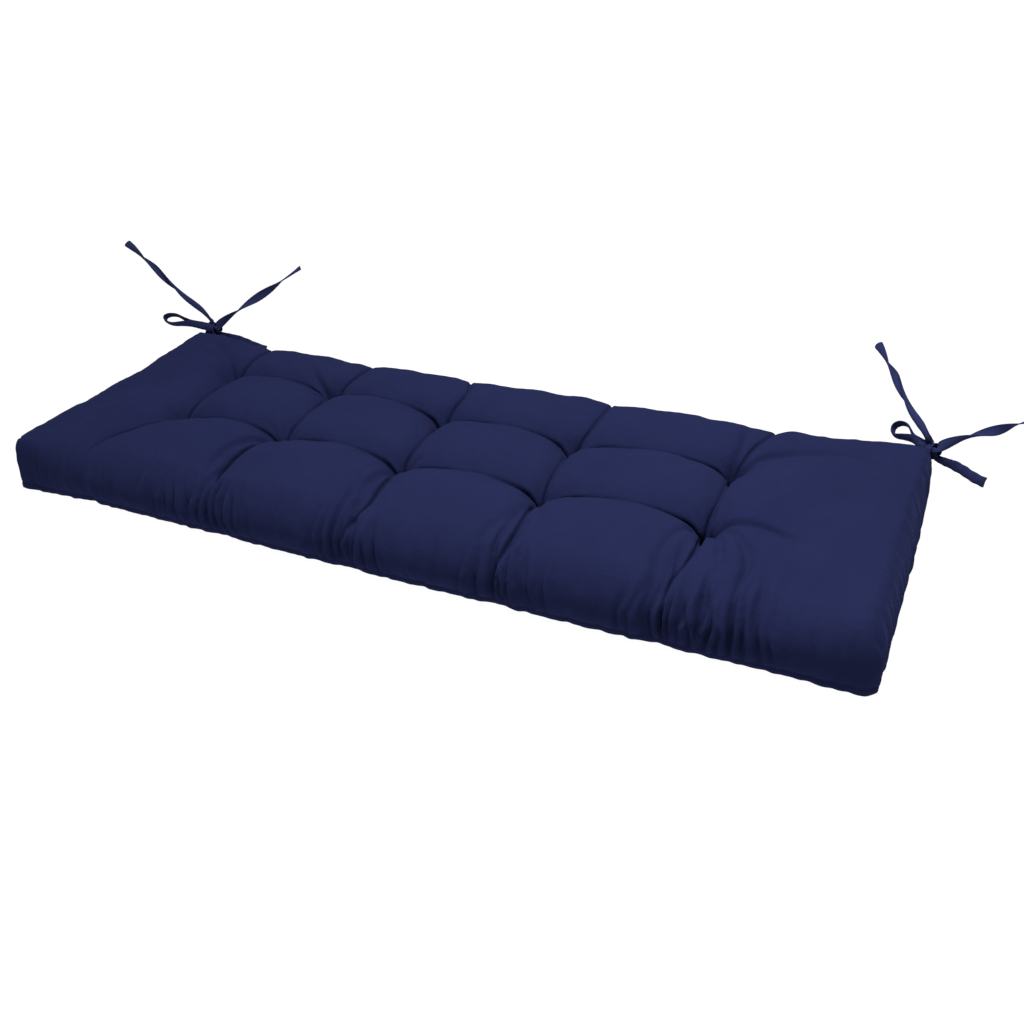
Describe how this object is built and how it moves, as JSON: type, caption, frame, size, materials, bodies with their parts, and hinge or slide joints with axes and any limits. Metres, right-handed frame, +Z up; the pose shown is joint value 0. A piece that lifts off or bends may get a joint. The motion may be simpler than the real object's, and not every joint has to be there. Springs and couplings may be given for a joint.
{
  "type": "bench cushion",
  "caption": "Long tufted bench cushion with a filled, crowned body and a strap tied in a bow at each back corner.",
  "frame": {"origin": "middle of the flat underside", "axes": "+X along the cushion, +Y towards the back edge with the ties, +Z up out of the tufted top"},
  "size_m": [1.6259, 0.6825, 0.2244],
  "materials": {
    "cushion_cloth": "fine woven polyester, smooth with a soft sheen",
    "strap_cloth": "the same cloth folded and stitched into flat straps"
  },
  "bodies": {
    "root": {"cushion": "cushion_cloth", "left_tie_inner": "strap_cloth", "left_tie_outer": "strap_cloth", "right_tie_inner": "strap_cloth", "right_tie_outer": "strap_cloth"}
  },
  "joints": []
}
